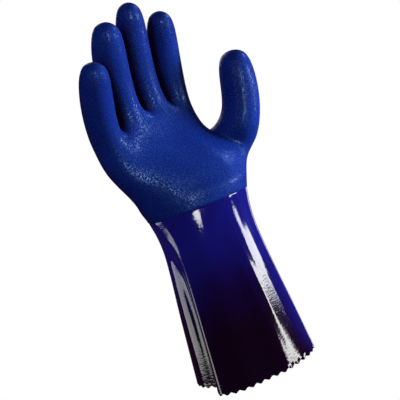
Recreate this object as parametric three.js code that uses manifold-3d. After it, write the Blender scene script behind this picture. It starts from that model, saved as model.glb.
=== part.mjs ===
import * as THREE from 'three';
import { mergeVertices } from 'three/addons/utils/BufferGeometryUtils.js';
import Module from 'manifold-3d';

// A coated gauntlet glove for the right hand, in millimetres, standing on its cuff along +Z.
// The palm faces -Y and the thumb is on the +X side. The origin is the centre of the cuff opening.

// Sleeve, from the hem up to the dip line at the wrist
const sleeveLength = 146;
const cuffWidth = 98;
const cuffDepth = 84;
const waistWidth = 81.5;
const waistDepth = 53;
const waistHeight = 117;
const wristWidth = 90;
const wristDepth = 57;
const wristShift = 1.5;
const sleeveWall = 1.6;
const toothPitch = 7.2;
const toothDepth = 1.8;

// Palm, from the dip line up to the roots of the fingers
const palmLength = 86;
const palmLean = 13.5;
const palmTwist = 22;
const palmBack = 3;
const knuckleDepth = 32;
const coatStep = 0.5;

// Fingers and thumb
const fingerLength = 86;
const fingerDiameter = 26.8;
const fingerGap = 0.5;
const thumbLength = 89;
const thumbDiameter = 32;

// Lap joint at the wrist, where the rough coat runs over the top of the sleeve
const lapLength = 10;
const lapWall = 0.9;
const clearance = 0.3;

// Fineness of the faceted surfaces
const sleeveColumns = 56;
const samplesPerTooth = 6;
const refinements = 2;
const turnWeight = 30;
const weldDistance = 1e-4;

const handFinish = { color: 0x1a3180, roughness: 0.6, metalness: 0 };
const sleeveFinish = { color: 0x14105c, roughness: 0.15, metalness: 0 };

// Factors without a unit: powers of the sleeve's flare below and above its waist, power of the palm's
// thinning above the dip line, depth of the wrist's ends as a share of its middle, half width of a
// finger's root as a share of the fingers' spacing, and radius of the smooth tube that a square ring
// of four cage points gives, as a share of its half side
const factors = {
  cuffFlare: 1.1,
  wristFlare: 2,
  palmThinning: 1.5,
  wristEnds: 0.32,
  rootShare: 0.43,
  cageToTube: 0.93,
};

// Sections of the sleeve's outline as powers of its oval, from round to boxy, on the two sides
const roundness = {
  wrist: { littleSide: 2.2, thumbSide: 2.2 },
  waist: { littleSide: 3.0, thumbSide: 2.6 },
  cuff: { littleSide: 3.0, thumbSide: 3.0 },
};

// Folds of the sleeve: bearings in degrees at the hem and at the dip line, spread in degrees, depth as a
// share of the cuff's depth with outward positive, and the shares of the sleeve's length where it is
// full and where it ends
const folds = [
  { name: 'front crease', bearings: [210, 210], spread: 7, depth: 0.015, full: 0.6, end: 1.0 },
  { name: 'little finger gusset', bearings: [190, 190], spread: 12, depth: -0.1, full: 0.55, end: 0.93 },
  { name: 'back crease', bearings: [155, 155], spread: 9, depth: 0.02, full: 0.4, end: 0.8 },
  { name: 'palm side ridge', bearings: [278, 300], spread: 13, depth: 0.026, full: 0.25, end: 0.9 },
  { name: 'thumb side crease', bearings: [334, 336], spread: 8, depth: 0.016, full: 0.2, end: 0.7 },
  { name: 'thumb side gusset', bearings: [4, 4], spread: 16, depth: -0.05, full: 0.2, end: 0.75 },
  { name: 'back hollow', bearings: [95, 95], spread: 24, depth: -0.04, full: 0.3, end: 0.8 },
];

// Heights of the sleeve's sections, as shares of its length
const outerRises = [0.14, 0.31, 0.48, 0.65, 0.8, 0.91];
const innerRises = [0.3, 0.62, 0.85];

// Palm sections from the wrist to the finger roots: rise as a share of the palm's length, factors on
// the width and depth of a straight run between the two, shift towards the thumb as a share of the
// wrist's width, and depth of the palm's hollow and height of the thumb's mound as shares of the
// knuckles' depth
const palmSections = [
  { rise: 0.0, width: 1.0, depth: 1.0, across: 0.0, hollow: 0.0, mound: 0.0 },
  { rise: 0.27, width: 1.18, depth: 1.12, across: 0.095, hollow: 0.0, mound: 0.14 },
  { rise: 0.6, width: 1.05, depth: 1.04, across: -0.045, hollow: 0.15, mound: 0.08 },
  { rise: 0.82, width: 1.01, depth: 1.0, across: -0.025, hollow: 0.08, mound: 0.0 },
];
const thumbSection = 1;

// Fingers from the little finger on: rise of the root as a share of the palm's length, length and
// girth as shares of the finger's, bend towards the palm and lean towards the thumb in degrees at
// the root and at the tip
const fingers = [
  { name: 'little', rise: -0.115, length: 0.74, girth: 0.95, bend: [24, 41], lean: [-13, -4] },
  { name: 'ring', rise: 0.03, length: 0.91, girth: 1.04, bend: [13, 39], lean: [-14, -5] },
  { name: 'middle', rise: 0.06, length: 1.02, girth: 0.98, bend: [10, 35], lean: [-10, -5] },
  { name: 'index', rise: 0.025, length: 0.94, girth: 0.99, bend: [12, 38], lean: [-4, -12] },
];

// Sections along each finger as shares of its length and radius
const fingerSections = [
  { along: 0.33, girth: 1.0 },
  { along: 0.69, girth: 0.97 },
  { along: 1.0, girth: 0.74 },
];

// Sections along the thumb as shares of its length and radius, and the direction of the run to each
const thumbSections = [
  { along: 0.2, girth: 1.18, bend: 36, lean: 54 },
  { along: 0.45, girth: 1.03, bend: 17, lean: 22 },
  { along: 0.72, girth: 1.0, bend: 9, lean: 7 },
  { along: 1.0, girth: 0.76, bend: 7, lean: 3 },
];

const { degToRad, lerp, smoothstep } = THREE.MathUtils;
const wasm = await Module();
wasm.setup();

// Size, centre and roundness of the sleeve at a height, running on above the dip line into the palm
function sleeveSection(height) {
  const low = height < waistHeight;
  const share = low ? 1 - height / waistHeight : (height - waistHeight) / (sleeveLength - waistHeight);
  const end = low ? roundness.cuff : roundness.wrist;
  const mix = Math.min(share, 1);
  const above = Math.max(0, height - sleeveLength) / palmLength;
  const grown = share ** (low ? factors.cuffFlare : factors.wristFlare);
  const width = lerp(waistWidth, low ? cuffWidth : wristWidth, grown);
  const depth = lerp(waistDepth, low ? cuffDepth : wristDepth, grown);
  return {
    centre: (wristShift * height) / sleeveLength,
    halfWidth: width / 2,
    halfDepth: lerp(depth, knuckleDepth, above ** factors.palmThinning) / 2,
    littleSide: lerp(roundness.waist.littleSide, end.littleSide, mix),
    thumbSide: lerp(roundness.waist.thumbSide, end.thumbSide, mix),
  };
}

// Distance of the sleeve's outer face from its centre line, with the folds
function sleeveRadius(bearing, height) {
  const section = sleeveSection(height);
  const [c, s] = [Math.cos(bearing), Math.sin(bearing)];
  const power = lerp(section.littleSide, section.thumbSide, (1 + c) / 2);
  const sum = Math.abs(c / section.halfWidth) ** power + Math.abs(s / section.halfDepth) ** power;
  let radius = sum ** (-1 / power);
  for (const fold of folds) {
    const apart = bearing - degToRad(lerp(...fold.bearings, height / sleeveLength));
    const turn = Math.atan2(Math.sin(apart), Math.cos(apart));
    const fade = 1 - smoothstep(height / sleeveLength, fold.full, fold.end);
    radius += cuffDepth * fold.depth * fade * Math.exp(-((turn / degToRad(fold.spread)) ** 2));
  }
  return radius;
}

// A point of the sleeve's outline, moved outwards by an offset
function sleevePoint(bearing, height, offset) {
  const radius = sleeveRadius(bearing, height) + offset;
  const { centre } = sleeveSection(height);
  return new THREE.Vector3(centre + radius * Math.cos(bearing), radius * Math.sin(bearing), height);
}

// Bearings spaced along the cuff's outline, closer where it turns if a weight is given for a turn
function spacedBearings(count, weight) {
  const fine = 720;
  const outline = [];
  for (let i = 0; i < fine; i += 1) outline.push(sleevePoint((i / fine) * 2 * Math.PI, 0, 0));
  const run = [0];
  for (let i = 0; i < fine; i += 1) {
    const step = outline[(i + 1) % fine].clone().sub(outline[i]);
    const next = outline[(i + 2) % fine].clone().sub(outline[(i + 1) % fine]);
    run.push(run[i] + step.length() + weight * step.angleTo(next));
  }
  const bearings = [];
  let at = 0;
  for (let i = 0; i < count; i += 1) {
    const goal = (i / count) * run[fine];
    while (run[at + 1] <= goal) at += 1;
    bearings.push(((at + (goal - run[at]) / (run[at + 1] - run[at])) / fine) * 2 * Math.PI);
  }
  return bearings;
}

// A closed band from rings of points, listed along the outline of its wall. Neighbouring rings are joined
// in the order of their bearings, so one may have more points than the next.
function bandSolid(rings) {
  const points = [];
  const triangles = [];
  const starts = rings.map((ring) => points.push(...ring.points) - ring.points.length);
  rings.forEach((low, r) => {
    const other = (r + 1) % rings.length;
    const high = rings[other];
    const [lowCount, highCount] = [low.points.length, high.points.length];
    const passed = (bearings, k) => (k < bearings.length ? bearings[k] : 2 * Math.PI + k - bearings.length);
    let [i, j] = [0, 0];
    while (i < lowCount || j < highCount) {
      const a = starts[r] + (i % lowCount);
      const b = starts[other] + (j % highCount);
      if (passed(low.bearings, i + 1) <= passed(high.bearings, j + 1)) {
        i += 1;
        triangles.push([a, starts[r] + (i % lowCount), b]);
      } else {
        j += 1;
        triangles.push([a, starts[other] + (j % highCount), b]);
      }
    }
  });
  return solidFrom(points, triangles);
}

// A solid from points and triangles
function solidFrom(points, triangles) {
  let geometry = new THREE.BufferGeometry();
  geometry.setAttribute('position', new THREE.Float32BufferAttribute(points.flatMap((p) => p.toArray()), 3));
  geometry.setIndex(triangles.flat());
  geometry = mergeVertices(geometry, weldDistance);
  return new wasm.Manifold(new wasm.Mesh({
    numProp: 3,
    vertProperties: Float32Array.from(geometry.attributes.position.array),
    triVerts: Uint32Array.from(geometry.index.array),
  }));
}

// A ring of the sleeve's outline at a height, moved outwards by an offset
function sleeveRing(bearings, height, offset) {
  return { bearings, points: bearings.map((bearing) => sleevePoint(bearing, height, offset)) };
}

// The sleeve, with a pinked hem below and a neck on top that the hand part laps over
function sleeveSolid() {
  const skin = sleeveLength - clearance;
  const neck = coatStep - lapWall - clearance;
  const top = sleeveLength + lapLength;
  const columns = spacedBearings(sleeveColumns, turnWeight);
  return bandSolid([
    hemRing(0),
    ...outerRises.map((rise) => sleeveRing(columns, rise * sleeveLength, 0)),
    sleeveRing(columns, skin, 0),
    sleeveRing(columns, skin, neck),
    sleeveRing(columns, top, neck),
    sleeveRing(columns, top, -sleeveWall),
    ...innerRises.toReversed().map((rise) => sleeveRing(columns, rise * sleeveLength, -sleeveWall)),
    hemRing(-sleeveWall),
  ]);
}

// The wavy edge of the hem, with whole teeth round the cuff
function hemRing(offset) {
  const outline = sleeveRing(spacedBearings(sleeveColumns, 0), 0, 0).points;
  const length = outline.reduce((sum, p, i) => sum + p.distanceTo(outline[(i + 1) % outline.length]), 0);
  const teeth = Math.round(length / toothPitch);
  const bearings = spacedBearings(teeth * samplesPerTooth, 0);
  const points = bearings.map((bearing, i) => {
    const wave = (1 - Math.cos((i / samplesPerTooth) * 2 * Math.PI)) / 2;
    return sleevePoint(bearing, wave * toothDepth, offset);
  });
  return { bearings, points };
}

// What the lap pocket is cut with, inside the wrist end of the hand part
function lapCutter() {
  const outer = coatStep - lapWall;
  const inner = -2 * sleeveWall;
  const columns = spacedBearings(sleeveColumns, turnWeight);
  const heights = [-1, lapLength / 2, lapLength + clearance].map((z) => sleeveLength + z);
  return bandSolid([
    ...heights.map((height) => sleeveRing(columns, height, outer)),
    ...heights.toReversed().map((height) => sleeveRing(columns, height, inner)),
  ]);
}

// Directions at a place on a finger: along it, across it towards the thumb, and out of the palm side
function frameAt(bend, lean, twist) {
  const across = new THREE.Vector3(Math.cos(twist), Math.sin(twist), 0);
  const palmward = new THREE.Vector3(Math.sin(twist), -Math.cos(twist), 0);
  const along = new THREE.Vector3(0, 0, Math.cos(bend) * Math.cos(lean));
  along.addScaledVector(palmward, Math.sin(bend) * Math.cos(lean));
  along.addScaledVector(across, Math.sin(lean));
  const side = across.addScaledVector(along, -across.dot(along)).normalize();
  const front = along.clone().cross(side).negate();
  return { along, side, front };
}

// Four cage points round a centre, palm side first, from the little finger's side on
function squareRing(centre, frame, halfSide, halfFront) {
  const corners = [[-1, 1], [1, 1], [1, -1], [-1, -1]];
  return corners.map(([x, y]) => centre.clone()
    .addScaledVector(frame.side, x * halfSide)
    .addScaledVector(frame.front, y * halfFront));
}

// Root of each finger: its centre and its four cage points
function fingerRoots() {
  const pitch = fingerDiameter + fingerGap;
  const twist = degToRad(palmTwist);
  const middle = new THREE.Vector3(
    wristShift - palmLength * Math.tan(degToRad(palmLean)),
    palmBack,
    sleeveLength + palmLength,
  );
  return fingers.map((finger, i) => {
    const frame = frameAt(degToRad(finger.bend[0]), degToRad(finger.lean[0]), twist);
    const across = pitch * (i - (fingers.length - 1) / 2);
    const centre = middle.clone().add(new THREE.Vector3(
      across * Math.cos(twist),
      across * Math.sin(twist),
      finger.rise * palmLength,
    ));
    return { centre, ring: squareRing(centre, frame, factors.rootShare * pitch, knuckleDepth / 2) };
  });
}

// The cage's rings round the palm: eight points along the palm side and eight back along the other
function palmRings(roots) {
  const top = [
    ...roots.flatMap(({ ring }) => [ring[0], ring[1]]),
    ...roots.toReversed().flatMap(({ ring }) => [ring[2], ring[3]]),
  ];
  const middle = top.reduce((sum, p) => sum.add(p), new THREE.Vector3()).divideScalar(top.length);
  const twist = degToRad(palmTwist);
  const across = top.map((p) => (p.x - middle.x) * Math.cos(twist) + (p.y - middle.y) * Math.sin(twist));
  const halfWidth = Math.max(...across);
  const wrist = across.map((x, i) => {
    const share = x / halfWidth;
    const side = i < top.length / 2 ? -1 : 1;
    return new THREE.Vector3(
      wristShift + (share * wristWidth) / 2,
      (side * wristDepth * Math.sqrt(lerp(1, factors.wristEnds ** 2, share * share))) / 2,
      sleeveLength,
    );
  });
  const rings = palmSections.map((section) => wrist.map((low, i) => {
    const centre = new THREE.Vector3(wristShift, 0, sleeveLength).lerp(middle, section.rise);
    const point = low.clone().lerp(top[i], section.rise);
    const share = across[i] / halfWidth;
    point.x = centre.x + (point.x - centre.x) * section.width + section.across * wristWidth;
    point.y = centre.y + (point.y - centre.y) * section.depth;
    if (i < top.length / 2) {
      point.y += section.hollow * knuckleDepth * (1 - share * share);
      point.y -= section.mound * knuckleDepth * Math.max(0, share);
    }
    return point;
  }));
  return [...rings, top];
}

// The whole cage of the hand: quads over the palm, the webs, the fingers and the thumb
function handCage() {
  const roots = fingerRoots();
  const rings = palmRings(roots);
  const around = rings[0].length;
  const points = rings.flat();
  const faces = [];
  const thumbColumn = around / 2 - 1;
  for (let row = 0; row < rings.length - 1; row += 1) {
    for (let i = 0; i < around; i += 1) {
      const next = (i + 1) % around;
      const quad = [i, next, next + around, i + around].map((k) => k + row * around);
      if (row === thumbSection && i === thumbColumn) {
        growDigit(points, faces, quad, thumbRings(points, quad));
      } else {
        faces.push(quad);
      }
    }
  }
  const top = (rings.length - 1) * around;
  fingers.forEach((finger, i) => {
    const base = [2 * i, 2 * i + 1, around - 2 - 2 * i, around - 1 - 2 * i].map((k) => top + k);
    growDigit(points, faces, base, fingerRings(finger, roots[i].centre));
    if (i > 0) faces.push([base[0] - 1, base[0], base[3], base[3] + 1]);
  });
  return { points, faces };
}

// Joins rings of four points into a closed stall on top of a base ring
function growDigit(points, faces, base, rings) {
  let low = base;
  for (const ring of rings) {
    const high = ring.map((_, k) => points.length + k);
    points.push(...ring);
    for (let k = 0; k < 4; k += 1) faces.push([low[k], low[(k + 1) % 4], high[(k + 1) % 4], high[k]]);
    low = high;
  }
  faces.push(low);
}

function fingerRings(finger, root) {
  const length = finger.length * fingerLength;
  const half = (finger.girth * fingerDiameter) / 2 / factors.cageToTube;
  const centre = root.clone();
  let last = 0;
  return fingerSections.map(({ along, girth }) => {
    const frame = (share) => frameAt(
      degToRad(lerp(...finger.bend, share)),
      degToRad(lerp(...finger.lean, share)),
      degToRad(palmTwist),
    );
    centre.addScaledVector(frame((last + along) / 2).along, (along - last) * length);
    last = along;
    return squareRing(centre, frame(along), half * girth, half * girth);
  });
}

function thumbRings(points, base) {
  const half = thumbDiameter / 2 / factors.cageToTube;
  const centre = base.reduce((sum, k) => sum.add(points[k]), new THREE.Vector3()).divideScalar(4);
  let last = 0;
  return thumbSections.map(({ along, girth, bend, lean }, i) => {
    const next = thumbSections[Math.min(i + 1, thumbSections.length - 1)];
    centre.addScaledVector(frameAt(degToRad(bend), degToRad(lean), 0).along, (along - last) * thumbLength);
    last = along;
    const frame = frameAt(degToRad((bend + next.bend) / 2), degToRad((lean + next.lean) / 2), 0);
    const [a, b, c, d] = squareRing(centre, frame, half * girth, half * girth);
    return [b, c, d, a];
  });
}

function average(points) {
  return points.reduce((sum, p) => sum.add(p), new THREE.Vector3()).divideScalar(points.length);
}

// One Catmull-Clark step, which keeps an open rim as a smooth curve
function refine({ points, faces }) {
  const faceCentres = faces.map((face) => average(face.map((k) => points[k])));
  const edges = new Map();
  const around = points.map(() => ({ faces: [], edges: [] }));
  faces.forEach((face, f) => face.forEach((a, k) => {
    const b = face[(k + 1) % 4];
    const key = a < b ? `${a},${b}` : `${b},${a}`;
    if (!edges.has(key)) {
      edges.set(key, { ends: [a, b], faces: [] });
      around[a].edges.push(key);
      around[b].edges.push(key);
    }
    edges.get(key).faces.push(f);
    around[a].faces.push(f);
  }));
  const middle = (edge) => average(edge.ends.map((k) => points[k]));
  const moved = points.map((p, i) => {
    const touching = around[i].edges.map((key) => edges.get(key));
    const rim = touching.filter((edge) => edge.faces.length === 1);
    if (rim.length) return average([...rim.map(middle), p, p]);
    const count = touching.length;
    return average(around[i].faces.map((f) => faceCentres[f]))
      .addScaledVector(average(touching.map(middle)), 2)
      .addScaledVector(p, count - 3)
      .divideScalar(count);
  });
  const all = [...moved, ...faceCentres];
  for (const edge of edges.values()) {
    edge.index = all.length;
    const inner = edge.faces.map((f) => faceCentres[f]);
    all.push(inner.length === 2 ? average([...edge.ends.map((k) => points[k]), ...inner]) : middle(edge));
  }
  const edgeIndex = (a, b) => edges.get(a < b ? `${a},${b}` : `${b},${a}`).index;
  const quads = faces.flatMap((face, f) => face.map((a, k) => [
    a, edgeIndex(a, face[(k + 1) % 4]), points.length + f, edgeIndex(face[(k + 3) % 4], a),
  ]));
  return { points: all, faces: quads };
}

// Brings the wrist end of the hand onto the sleeve's own outline, with the step of the second coat
function seatOnSleeve(points) {
  const start = sleeveLength + lapLength + clearance;
  for (const point of points) {
    const fade = 1 - smoothstep(point.z, start, start + lapLength);
    if (fade > 0) {
      const { centre } = sleeveSection(point.z);
      const seat = sleevePoint(Math.atan2(point.y, point.x - centre), point.z, coatStep);
      point.lerp(seat, fade);
    }
  }
}

function vertexNormals(points, faces) {
  const normals = points.map(() => new THREE.Vector3());
  for (const face of faces) {
    const [a, b, c, d] = face.map((k) => points[k]);
    const normal = c.clone().sub(a).cross(d.clone().sub(b));
    face.forEach((k) => normals[k].add(normal));
  }
  return normals.map((normal) => normal.normalize());
}

// The hand part: a shell of even wall with an open wrist
function handSolid() {
  let skin = handCage();
  for (let i = 0; i < refinements; i += 1) skin = refine(skin);
  const { points, faces } = skin;
  seatOnSleeve(points);
  const normals = vertexNormals(points, faces);
  const handWall = sleeveWall + coatStep;
  const inner = points.map((p, i) => {
    const inside = p.clone().addScaledVector(normals[i], -handWall);
    if (p.z < sleeveLength + weldDistance) inside.z = sleeveLength;
    return inside;
  });
  const count = points.length;
  const triangles = [];
  const used = new Set();
  for (const [a, b, c, d] of faces) {
    triangles.push([a, b, c], [a, c, d]);
    triangles.push([a + count, c + count, b + count], [a + count, d + count, c + count]);
    [[a, b], [b, c], [c, d], [d, a]].forEach(([p, q]) => used.add(`${p},${q}`));
  }
  for (const [a, b] of [...used].map((key) => key.split(',').map(Number))) {
    if (!used.has(`${b},${a}`)) triangles.push([b, a, a + count], [b, a + count, b + count]);
  }
  return solidFrom([...points, ...inner], triangles).subtract(lapCutter());
}

function meshFrom(name, solid, finish) {
  const { vertProperties, triVerts, numProp } = solid.getMesh();
  const geometry = new THREE.BufferGeometry();
  geometry.setAttribute('position', new THREE.BufferAttribute(Float32Array.from(vertProperties), numProp));
  geometry.setIndex(new THREE.BufferAttribute(Uint32Array.from(triVerts), 1));
  geometry.computeVertexNormals();
  const mesh = new THREE.Mesh(geometry, new THREE.MeshStandardMaterial(finish));
  mesh.name = name;
  return mesh;
}

const glove = new THREE.Group();
glove.add(meshFrom('hand_coat', handSolid(), handFinish));
glove.add(meshFrom('gauntlet', sleeveSolid(), sleeveFinish));

export default glove;
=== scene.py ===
import math

import bmesh
import bpy
from mathutils import Matrix, Vector
from mathutils.bvhtree import BVHTree


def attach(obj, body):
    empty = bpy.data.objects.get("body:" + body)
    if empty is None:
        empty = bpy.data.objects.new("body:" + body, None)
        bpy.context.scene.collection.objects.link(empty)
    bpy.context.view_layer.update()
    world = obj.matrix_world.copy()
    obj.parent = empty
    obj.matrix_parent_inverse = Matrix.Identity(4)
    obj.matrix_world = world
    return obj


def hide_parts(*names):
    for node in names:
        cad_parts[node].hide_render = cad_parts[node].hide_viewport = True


# A coated gauntlet glove for the right hand, dressed over its solid parts.
# Metres, +Z from the cuff to the fingers, the palm towards -Y.
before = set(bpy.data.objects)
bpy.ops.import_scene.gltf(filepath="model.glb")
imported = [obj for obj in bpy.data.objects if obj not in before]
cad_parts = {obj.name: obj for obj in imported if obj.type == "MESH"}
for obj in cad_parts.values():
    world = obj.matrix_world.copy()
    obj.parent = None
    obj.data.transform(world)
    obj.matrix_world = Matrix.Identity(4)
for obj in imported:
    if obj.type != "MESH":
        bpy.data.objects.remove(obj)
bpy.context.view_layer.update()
bpy.ops.object.select_all(action="DESELECT")
print("frame loaded:", sorted(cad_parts))

millimetre = 0.001


class Signal:
    # One output of a shader tree. Sums on it add Math nodes, and node() adds any other kind.
    def __init__(self, tree, socket=None):
        self.tree = tree
        self.socket = socket

    def node(self, kind, settings=None, inputs=None, output=0):
        made = self.tree.nodes.new("ShaderNode" + kind)
        for key, value in (settings or {}).items():
            setattr(made, key, value)
        for key, value in (inputs or {}).items():
            if isinstance(value, Signal):
                self.tree.links.new(value.socket, made.inputs[key])
            else:
                made.inputs[key].default_value = value
        return Signal(self.tree, made.outputs[output])

    def sum(self, operation, *values):
        return self.node("Math", {"operation": operation}, dict(enumerate(values)))

    def __add__(self, other):
        return self.sum("ADD", self, other)

    def __radd__(self, other):
        return self.sum("ADD", other, self)

    def __sub__(self, other):
        return self.sum("SUBTRACT", self, other)

    def __rsub__(self, other):
        return self.sum("SUBTRACT", other, self)

    def __mul__(self, other):
        return self.sum("MULTIPLY", self, other)

    def __rmul__(self, other):
        return self.sum("MULTIPLY", other, self)

    def between(self, low, high):
        # 0 below low, 1 above high and a smooth step between the two
        inputs = {"Value": self, "From Min": low, "From Max": high}
        return self.node("MapRange", {"interpolation_type": "SMOOTHSTEP"}, inputs)

    def mix(self, first, second):
        # The first colour where the signal is 0, the second where it is 1
        return self.node("Mix", {"data_type": "RGBA"}, {0: self, 6: first, 7: second}, output=2)


def newMaterial(name):
    material = bpy.data.materials.new(name)
    material.use_nodes = True
    tree = material.node_tree
    tree.nodes.clear()
    return material, Signal(tree)


def finishMaterial(start, shader):
    output = start.tree.nodes.new("ShaderNodeOutputMaterial")
    start.tree.links.new(shader.socket, output.inputs["Surface"])


def noise(place, size, detail, roughness=0.5):
    return place.node("TexNoise", None, {
        "Vector": place, "Scale": 1 / size, "Detail": detail, "Roughness": roughness,
    })


def bumps(height, depth, below=None):
    inputs = {"Height": height, "Distance": depth, "Strength": 1.0}
    if below:
        inputs["Normal"] = below
    return height.node("Bump", None, inputs)


# Rough coat of the hand: dull blue with a fine grain, whose shiny specks gather into soft highlights
roughCoat = {
    "colour": (0.0055, 0.028, 0.262, 1),
    "shade": (0.0045, 0.018, 0.195, 1),
    "shadeShare": (0.35, 0.62),
    "roughness": 0.55,
    "specular": 0.16,
    "specularTint": (0.4, 0.75, 1.0, 1),
    "coatRoughness": 0.30,
    "speckShare": (0.52, 0.60),  # the part of the grain that is shiny
    "grainSize": 1.0 * millimetre,
    "fineGrainSize": 0.6 * millimetre,
    "fineGrainShare": 0.3,
    "grainHeight": 0.20 * millimetre,
    "cloudSize": 30 * millimetre,
    "flaws": (  # pinholes in the coat: place and radius in millimetres
        ((19.5, -18.8, 290.5), 1.3),
        ((20.9, 2.3, 232.6), 0.9),
    ),
    "flawColour": (0.002, 0.002, 0.012, 1),
    "flawCore": 0.6,  # share of its radius where a pinhole is fully dark
    "cleftShadeReach": 15 * millimetre,  # how near another face must come for painted shade to darken a cleft, as between the fingers
    "cleftShadeShare": (0.40, 0.90),
    # painted shade: the near-black colour of the clefts between the fingers
    "cleftShadeColour": (0.0090, 0.0010, 0.020, 1),
}


def roughPvc(settings):
    material, start = newMaterial("roughPvc")
    place = start.node("TexCoord", output="Object")
    grain = noise(place, settings["grainSize"], 1.0)
    fineGrain = noise(place, settings["fineGrainSize"], 1.0)
    cloud = noise(place, settings["cloudSize"], 3.0, 0.55)
    height = grain * (1 - settings["fineGrainShare"]) + fineGrain * settings["fineGrainShare"]
    share = (cloud * 0.5 + grain * 0.5).between(*settings["shadeShare"])
    colour = share.mix(settings["shade"], settings["colour"])
    for spot, radius in settings["flaws"]:
        apart = start.node("VectorMath", {"operation": "DISTANCE"}, {
            0: place, 1: Vector(spot) * millimetre,
        }, output="Value")
        hole = 1 - apart.between(radius * settings["flawCore"] * millimetre, radius * millimetre)
        colour = hole.mix(colour, settings["flawColour"])
    # Painted shade: where other faces close in, as between the fingers and in the thumb's web, the colour
    # darkens
    openness = start.node("AmbientOcclusion", {"samples": 8, "only_local": True}, {
        "Distance": settings["cleftShadeReach"],
    }, output="AO")
    colour = openness.between(*settings["cleftShadeShare"]).mix(settings["cleftShadeColour"], colour)
    shader = start.node("BsdfPrincipled", None, {
        "Base Color": colour,
        "Roughness": settings["roughness"],
        "Specular IOR Level": settings["specular"],
        "Specular Tint": settings["specularTint"],
        "Coat Weight": grain.between(*settings["speckShare"]),
        "Coat Roughness": settings["coatRoughness"],
        "Normal": bumps(height, settings["grainHeight"]),
    })
    finishMaterial(start, shader)
    return material


# Smooth coat of the sleeve: glossy navy with painted shade that darkens it to the hem, with the courses of
# the knit below it
smoothCoat = {
    "colour": (0.0065, 0.0090, 0.200, 1),
    "shade": (0.0060, 0.0055, 0.145, 1),
    "shadeShare": (0.35, 0.65),
    "cloudsPerMetre": 18.0,
    # painted shade: the near-black colour towards the hem, blended in between the two heights below
    "hem": (0.0062, 0.0006, 0.009, 1),
    "hemHeights": (34 * millimetre, 136 * millimetre),
    "hemWander": 50 * millimetre,
    "sideStart": 18 * millimetre,  # past here, towards the thumb's side, the blue reaches further down and the painted shade starts lower, as on a lit side
    "sideRise": 2.6,
    "roughness": 0.07,
    "specular": 0.5,
    "courseSize": (4.0, 4.0, 1.3),  # in millimetres, longer round the sleeve than along it
    "courseHeight": 0.055 * millimetre,
    "rippleSize": 11 * millimetre,
    "rippleHeight": 0.05 * millimetre,
}


def smoothPvc(settings):
    material, start = newMaterial("smoothPvc")
    place = start.node("TexCoord", output="Object")
    courses = start.node("VectorMath", {"operation": "MULTIPLY"}, {
        0: place, 1: [1 / millimetre / size for size in settings["courseSize"]],
    })
    ripples = bumps(noise(place, settings["rippleSize"], 1.0, 0.4), settings["rippleHeight"])
    cloud = noise(place, 1 / settings["cloudsPerMetre"], 3.0)
    colour = cloud.between(*settings["shadeShare"]).mix(settings["shade"], settings["colour"])
    # Painted shade: the colour darkens towards the hem, and starts lower towards the thumb's side
    height = start.node("SeparateXYZ", None, {"Vector": place}, output="Z")
    side = start.node("SeparateXYZ", None, {"Vector": place}, output="X")
    lifted = height + side.sum("MAXIMUM", side - settings["sideStart"], 0.0) * settings["sideRise"]
    unshaded = (lifted + (cloud - 0.5) * settings["hemWander"]).between(*settings["hemHeights"])
    colour = unshaded.mix(settings["hem"], colour)
    shader = start.node("BsdfPrincipled", None, {
        "Base Color": colour,
        "Roughness": settings["roughness"],
        "Specular IOR Level": settings["specular"],
        "Normal": bumps(noise(courses, 1.0, 2.0), settings["courseHeight"], ripples),
    })
    finishMaterial(start, shader)
    return material


# Inside of the glove: dull knit, which only shows from below
inside = {
    "colour": (0.050, 0.058, 0.160, 1),
    "thread": (0.110, 0.130, 0.300, 1),
    "roughness": 0.9,
    "stitch": 1.6 * millimetre,
    "stitchHeight": 0.25 * millimetre,
    "waveLength": 0.314,  # of a wave texture whose scale is 1
}


def insideKnit(settings):
    material, start = newMaterial("insideKnit")
    place = start.node("TexCoord", output="Object")
    rows = start.node("TexWave", {"bands_direction": "Z"}, {
        "Vector": place, "Scale": settings["waveLength"] / settings["stitch"],
        "Distortion": 2.0, "Detail": 1.0,
    })
    shader = start.node("BsdfPrincipled", None, {
        "Base Color": rows.mix(settings["colour"], settings["thread"]),
        "Roughness": settings["roughness"],
        "Normal": bumps(rows, settings["stitchHeight"]),
    })
    finishMaterial(start, shader)
    return material


def only(piece):
    bpy.ops.object.select_all(action="DESELECT")
    piece.select_set(True)
    bpy.context.view_layer.objects.active = piece


# How the loose triangles of a solid are joined again in its copy
merging = {
    "distance": 0.01 * millimetre,
    "faceAngle": math.radians(70),
    "shapeAngle": math.radians(60),
}


def mergedCopy(nodeName, name):
    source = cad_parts[nodeName]
    piece = bpy.data.objects.new(name, source.data.copy())
    bpy.context.scene.collection.objects.link(piece)
    piece.data.name = name
    piece.data.materials.clear()
    only(piece)
    bpy.ops.object.mode_set(mode="EDIT")
    bpy.ops.mesh.select_all(action="SELECT")
    bpy.ops.mesh.remove_doubles(threshold=merging["distance"])
    bpy.ops.mesh.tris_convert_to_quads(
        face_threshold=merging["faceAngle"], shape_threshold=merging["shapeAngle"],
    )
    bpy.ops.object.mode_set(mode="OBJECT")
    bpy.ops.mesh.customdata_custom_splitnormals_clear()
    return piece


def applyModifier(piece, kind, name, **settings):
    only(piece)
    modifier = piece.modifiers.new(name, kind)
    for key, value in settings.items():
        setattr(modifier, key, value)
    bpy.ops.object.modifier_apply(modifier=name)


def subdivide(piece, levels):
    applyModifier(piece, "SUBSURF", "fineness", levels=levels, render_levels=levels)


# The hand: a smoother copy of its solid, with the knit finish on the inner wall. It is smoothed above
# rimReach alone, so that the dip line stays where it meets the sleeve.
handPiece = {
    "name": "gloveHand",
    "node": "hand_coat",
    "slot": "rough_pvc",
    "rimAngle": math.radians(60),
    "rimCrease": 0.7,
    "rimReach": 165.0 * millimetre,
    "smoothing": 2,
    "fattening": 0.6 * millimetre,
    "levels": 2,
}


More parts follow.
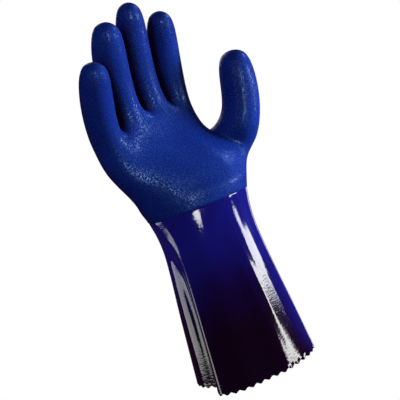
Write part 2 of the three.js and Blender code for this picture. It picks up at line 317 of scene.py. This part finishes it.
def markOutside(mesh, settings):
    # Faces joined to the highest one without a sharp edge between are the outside, all others the inside
    crease = mesh.edges.layers.float.get("crease_edge") or mesh.edges.layers.float.new("crease_edge")
    for edge in mesh.edges:
        edge.tag = len(edge.link_faces) == 2 and edge.calc_face_angle() > settings["rimAngle"]
    for face in mesh.faces:
        face.material_index = 1
    reached = [max(mesh.faces, key=lambda face: face.calc_center_median().z)]
    reached[0].material_index = 0
    while reached:
        face = reached.pop()
        for edge in face.edges:
            if edge.tag:
                continue
            for other in edge.link_faces:
                if other.material_index:
                    other.material_index = 0
                    reached.append(other)
    for edge in mesh.edges:
        if edge.tag and len({face.material_index for face in edge.link_faces}) == 2:
            edge[crease] = settings["rimCrease"]


def selectAbove(piece, height, walls):
    # In edit mode: the points above a height on the outer wall (0), the inner wall (1) or both
    mesh = bmesh.from_edit_mesh(piece.data)
    for vertex in mesh.verts:
        onWall = any(face.material_index in walls for face in vertex.link_faces)
        vertex.select_set(onWall and vertex.co.z > height)
    mesh.select_flush_mode()
    bmesh.update_edit_mesh(piece.data)


def makeHand(settings):
    piece = mergedCopy(settings["node"], settings["name"])
    mesh = bmesh.new()
    mesh.from_mesh(piece.data)
    markOutside(mesh, settings)
    mesh.to_mesh(piece.data)
    mesh.free()
    bpy.ops.object.mode_set(mode="EDIT")
    selectAbove(piece, settings["rimReach"], (0, 1))
    bpy.ops.mesh.vertices_smooth(factor=0.5, repeat=settings["smoothing"])
    # Both walls move outwards, so that the coat keeps its thickness
    for wall, side in ((0, 1), (1, -1)):
        selectAbove(piece, settings["rimReach"], (wall,))
        bpy.ops.transform.shrink_fatten(value=side * settings["fattening"])
    bpy.ops.object.mode_set(mode="OBJECT")
    subdivide(piece, settings["levels"])
    bpy.ops.object.shade_smooth()
    return piece


# The sleeve: rings drawn up from the hem and laid onto its solid's outer face, made finer, then folded and
# cut wavy. Heights and sizes in millimetres, bearings in degrees round the sleeve.
sleevePiece = {
    "name": "gloveSleeve",
    "node": "gauntlet",
    "slot": "smooth_pvc",
    "columns": 112,
    "startRadius": 50.0,
    "rises": (
        0.0, 2.0, 6.0, 14.0, 28.0, 45.0, 63.0, 80.0, 95.0, 107.0, 117.0, 127.0, 136.0, 142.0,
        144.5, 146.8, 147.4, 149.5,
    ),
    "castHeights": (2.4, 145.4),
    "neckHeight": 147.0,
    "neckInset": 1.1,
    "levels": 2,
    "wall": 1.5,
    "teeth": 43,
    "toothDepth": 1.8,
    "toothReach": 7.0,
    "dipSwell": 0.3,
    "dipReach": 9.0,
    "hemLevel": 0.05,
    "rimBevel": 0.15,
    "bevelAngle": math.radians(60),
    "reach": 120.0,
}

# The sharp line on the sleeve's front fold: its bearing and spread in degrees, how far it stands proud, and
# the heights above the hem where it is full and where it has run out, in millimetres
frontFold = {"bearing": 210.0, "spread": 3.5, "proud": 0.5, "full": 90.0, "end": 140.0}


def turnBetween(first, second):
    turn = math.radians(first - second)
    return math.degrees(math.atan2(math.sin(turn), math.cos(turn)))


def smoothStep(value, low, high):
    share = min(max((value - low) / (high - low), 0), 1)
    return share * share * (3 - 2 * share)


def pointOnSolid(tree, bearing, height, reach):
    # The point of the solid's outer face at a bearing and a height, looked for from outside
    outward = Vector((math.cos(bearing), math.sin(bearing), 0))
    start = Vector((0, 0, height * millimetre)) + outward * reach * millimetre
    return tree.ray_cast(start, -outward)[0]


def foldHeight(bearing, height, fold):
    apart = turnBetween(math.degrees(bearing), fold["bearing"])
    fade = 1 - smoothStep(height, fold["full"], fold["end"])
    return fold["proud"] * fade * math.exp(-((apart / fold["spread"]) ** 2))


def makeSleeve(settings):
    solid = mergedCopy(settings["node"], "sleeveGuide")
    tree = BVHTree.FromObject(solid, bpy.context.evaluated_depsgraph_get())
    bpy.ops.object.select_all(action="DESELECT")
    bpy.ops.mesh.primitive_circle_add(
        vertices=settings["columns"], radius=settings["startRadius"] * millimetre,
    )
    piece = bpy.context.object
    piece.name = settings["name"]
    piece.data.name = settings["name"]
    bpy.ops.object.mode_set(mode="EDIT")
    for low, high in zip(settings["rises"], settings["rises"][1:]):
        bpy.ops.mesh.extrude_region_move(
            TRANSFORM_OT_translate={"value": (0, 0, (high - low) * millimetre)},
        )
    bpy.ops.object.mode_set(mode="OBJECT")
    low, high = settings["castHeights"]
    for vertex in piece.data.vertices:
        x, y, z = vertex.co
        height = z / millimetre
        found = pointOnSolid(tree, math.atan2(y, x), min(max(height, low), high), settings["reach"])
        if height < low:
            above = pointOnSolid(tree, math.atan2(y, x), 2 * low, settings["reach"])
            found += (found - above) * (1 - height / low)
        if height > settings["neckHeight"]:
            found -= Vector((found.x, found.y, 0)).normalized() * settings["neckInset"] * millimetre
        vertex.co = (found.x, found.y, z)
    subdivide(piece, settings["levels"])
    shapeSleeve(piece, tree, settings)
    bpy.data.objects.remove(solid)
    only(piece)
    bpy.ops.object.mode_set(mode="EDIT")
    bpy.ops.mesh.select_all(action="SELECT")
    bpy.ops.mesh.normals_make_consistent(inside=False)
    bpy.ops.object.mode_set(mode="OBJECT")
    applyModifier(
        piece, "SOLIDIFY", "wall", thickness=settings["wall"] * millimetre, offset=-1,
        material_offset=1, material_offset_rim=1,
    )
    applyModifier(
        piece, "BEVEL", "cutEdge", width=settings["rimBevel"] * millimetre, segments=2,
        limit_method="ANGLE", angle_limit=settings["bevelAngle"], use_clamp_overlap=True, material=1,
    )
    bpy.ops.object.shade_smooth()
    return piece


def hemRuns(piece, level):
    # The bearing of each point round the hem, and its share of the way round, from 0 to 1
    outline = sorted(
        (vertex.co.copy() for vertex in piece.data.vertices if vertex.co.z < level),
        key=lambda point: math.atan2(point.y, point.x) % math.tau,
    )
    steps = [(after - before).length for before, after in zip(outline, outline[1:] + outline[:1])]
    bearings = [math.atan2(point.y, point.x) % math.tau for point in outline]
    return bearings, [sum(steps[:i]) / sum(steps) for i in range(len(steps))]


def shapeSleeve(piece, tree, settings):
    # Works the fold in and cuts the hem wavy, with its teeth evenly spaced along the outline
    low, top = settings["castHeights"]
    bearings, runs = hemRuns(piece, settings["hemLevel"] * millimetre)
    for vertex in piece.data.vertices:
        x, y, z = vertex.co
        bearing = math.atan2(y, x) % math.tau
        height = z / millimetre
        swell = settings["dipSwell"] * math.exp(-abs(top - height) / settings["dipReach"])
        radius = math.hypot(x, y) + (foldHeight(bearing, height, frontFold) + swell) * millimetre
        lift = 0
        if height < settings["toothReach"]:
            nearest = min(range(len(bearings)), key=lambda i: abs(bearings[i] - bearing))
            wave = (1 - math.cos(runs[nearest] * settings["teeth"] * math.tau)) / 2
            share = 1 - smoothStep(height, 0, settings["toothReach"])
            lift = settings["toothDepth"] * wave * share * millimetre
        if low < height < settings["toothReach"] + low:
            before = pointOnSolid(tree, bearing, height, settings["reach"])
            after = pointOnSolid(tree, bearing, height + lift / millimetre, settings["reach"])
            radius += after.to_2d().length - before.to_2d().length
        vertex.co = (radius * math.cos(bearing), radius * math.sin(bearing), z + lift)


def mount(piece, settings, *materials):
    for material in materials:
        piece.data.materials.append(material)
    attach(piece, "root")
    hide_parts(settings["node"])
    print(settings["name"], "made:", len(piece.data.polygons), "faces")


knit = insideKnit(inside)
hand = makeHand(handPiece)
mount(hand, handPiece, roughPvc(roughCoat), knit)
sleeve = makeSleeve(sleevePiece)
mount(sleeve, sleevePiece, smoothPvc(smoothCoat), knit)

# Camera at the photograph's angle: where it stands, its three axes and its lens for a square picture
cameraSettings = {
    "place": Vector((-0.1751, -0.4924, 0.1885)),
    "right": Vector((0.8736, -0.3454, -0.3427)),
    "up": Vector((0.3470, -0.0514, 0.9365)),
    "lens": 56.25,
    "sensor": 36.0,
    "clip": (0.01, 20),
}


def makeCamera(settings):
    right = settings["right"].normalized()
    back = right.cross(settings["up"]).normalized()
    up = back.cross(right)
    data = bpy.data.cameras.new("photoCamera")
    data.lens = settings["lens"]
    data.sensor_width = settings["sensor"]
    data.clip_start, data.clip_end = settings["clip"]
    camera = bpy.data.objects.new("photoCamera", data)
    turn = Matrix((right, up, back)).transposed().to_4x4()
    camera.matrix_world = Matrix.Translation(settings["place"]) @ turn
    bpy.context.scene.collection.objects.link(camera)
    bpy.context.scene.camera = camera
    return right, up, back


cameraRight, cameraUp, cameraBack = makeCamera(cameraSettings)

# Soft boxes, by their direction from the glove in the camera's own right, up and back, with size in metres
# and tilt in degrees. Dull lights show on dull surfaces alone and boxes in the gloss alone. Boxes stand at
# boxDistance, unless they say how far away.
boxDistance = 3.0
white = (1, 1, 1)
skyBlue = (0.38, 0.62, 1.0)
dullLights = {
    "key": {"aim": (0.96, 0.28, -0.07), "away": 0.60, "size": (0.2, 0.2), "power": 6.2},
    "fill": {"aim": (-0.28, 0.20, 0.94), "away": 1.0, "size": (0.5, 0.5), "power": 3.0},
    "back": {"aim": (-0.15, 0.35, -0.92), "away": 1.2, "size": (0.8, 0.8), "power": 5.0},
}
backBoxes = {
    "backBox": {"aim": (-0.45, 0.55, -0.7), "away": 1.5, "size": (0.4, 0.9), "power": 2.5},
}
dullSleeveLights = {
    "low": {"aim": (0.05, -0.97, 0.25), "away": 1.0, "size": (0.5, 0.5), "power": 5.0},
}
handBoxes = {
    "fingerBox": {"aim": (0.92, 0.32, 0.22), "size": (0.9, 0.6), "power": 38.0},
    "palmBox": {"aim": (0.36, 0.42, 0.84), "size": (0.7, 0.7), "power": 6.0},
    "wristBox": {"aim": (0.42, 0.02, 0.9), "size": (0.3, 1.0), "power": 40.0},
    "thenarBox": {"aim": (0.60, 0.78, -0.2), "size": (0.6, 0.6), "power": 18.0},
}
sleeveBoxes = {
    "stripeBox": {"aim": (0.912, 0.342, 0.227), "size": (1.0, 0.6), "power": 32.0},
    "stripeLow": {"aim": (0.926, 0.17, 0.337), "size": (0.28, 0.48), "power": 7.0},
    "wedgeBox": {"aim": (0.48, -0.265, 0.85), "size": (0.6, 0.6), "tilt": 45, "power": 19.0},
    "leftCard": {"aim": (-0.85, -0.485, 0.08), "size": (1.7, 0.64), "power": 13.0},
    "rimBox": {"aim": (0.55, 0.10, -0.83), "size": (0.5, 1.2), "power": 5.0},
}
lightAim = Vector((0, 0, 0.17))


def makeLight(name, settings, gloss, colour, piece):
    data = bpy.data.lights.new(name, "AREA")
    data.shape = "RECTANGLE"
    data.size, data.size_y = settings["size"]
    data.energy = settings["power"]
    data.color = colour
    light = bpy.data.objects.new(name, data)
    light.visible_diffuse = not gloss
    light.visible_glossy = gloss
    light.visible_camera = False
    x, y, z = settings["aim"]
    outward = (cameraRight * x + cameraUp * y + cameraBack * z).normalized()
    side = cameraUp.cross(outward).normalized()
    turn = Matrix((side, outward.cross(side), outward)).transposed().to_4x4()
    tilt = Matrix.Rotation(math.radians(settings.get("tilt", 0)), 4, "Z")
    distance = settings.get("away", boxDistance)
    light.matrix_world = Matrix.Translation(lightAim + outward * distance) @ turn @ tilt
    bpy.context.scene.collection.objects.link(light)
    if piece:  # then it lights that piece and no other
        lit = bpy.data.collections.new(name + "Lit")
        lit.objects.link(piece)
        light.light_linking.receiver_collection = lit


for group, gloss, colour, piece in (
    (dullLights, False, white, None),
    (backBoxes, True, white, None),
    (dullSleeveLights, False, white, sleeve),
    (handBoxes, True, skyBlue, hand),
    (sleeveBoxes, True, white, sleeve),
):
    for name, settings in group.items():
        makeLight(name, settings, gloss, colour, piece)

# White surroundings, seen by the camera alone so that the gloss keeps its dark parts: a floor and a dome
surroundings = {
    "floor": -1.3,
    "floorSize": 12.0,
    "dome": 8.0,
    "domeFaces": (48, 24),
    "brightness": 1.0,
    "world": (0.035, 0.012, 0.042, 1),
}


def makeSurroundings(settings):
    material, start = newMaterial("studioWhite")
    shader = start.node("Emission", None, {"Color": (1, 1, 1, 1), "Strength": settings["brightness"]})
    finishMaterial(start, shader)
    bpy.ops.mesh.primitive_plane_add(size=settings["floorSize"], location=(0, 0, settings["floor"]))
    floor = bpy.context.object
    floor.name = "studioFloor"
    segments, rings = settings["domeFaces"]
    bpy.ops.mesh.primitive_uv_sphere_add(segments=segments, ring_count=rings, radius=settings["dome"])
    dome = bpy.context.object
    dome.name = "studioDome"
    for surface in (floor, dome):
        surface.data.materials.append(material)
        surface.visible_diffuse = False
        surface.visible_glossy = False
        surface.visible_shadow = False
    world = bpy.data.worlds.new("studio")
    world.use_nodes = True
    world.node_tree.nodes["Background"].inputs["Color"].default_value = settings["world"]
    bpy.context.scene.world = world


makeSurroundings(surroundings)
bpy.context.scene.view_settings.view_transform = "Standard"
print("camera, lights and surroundings set")
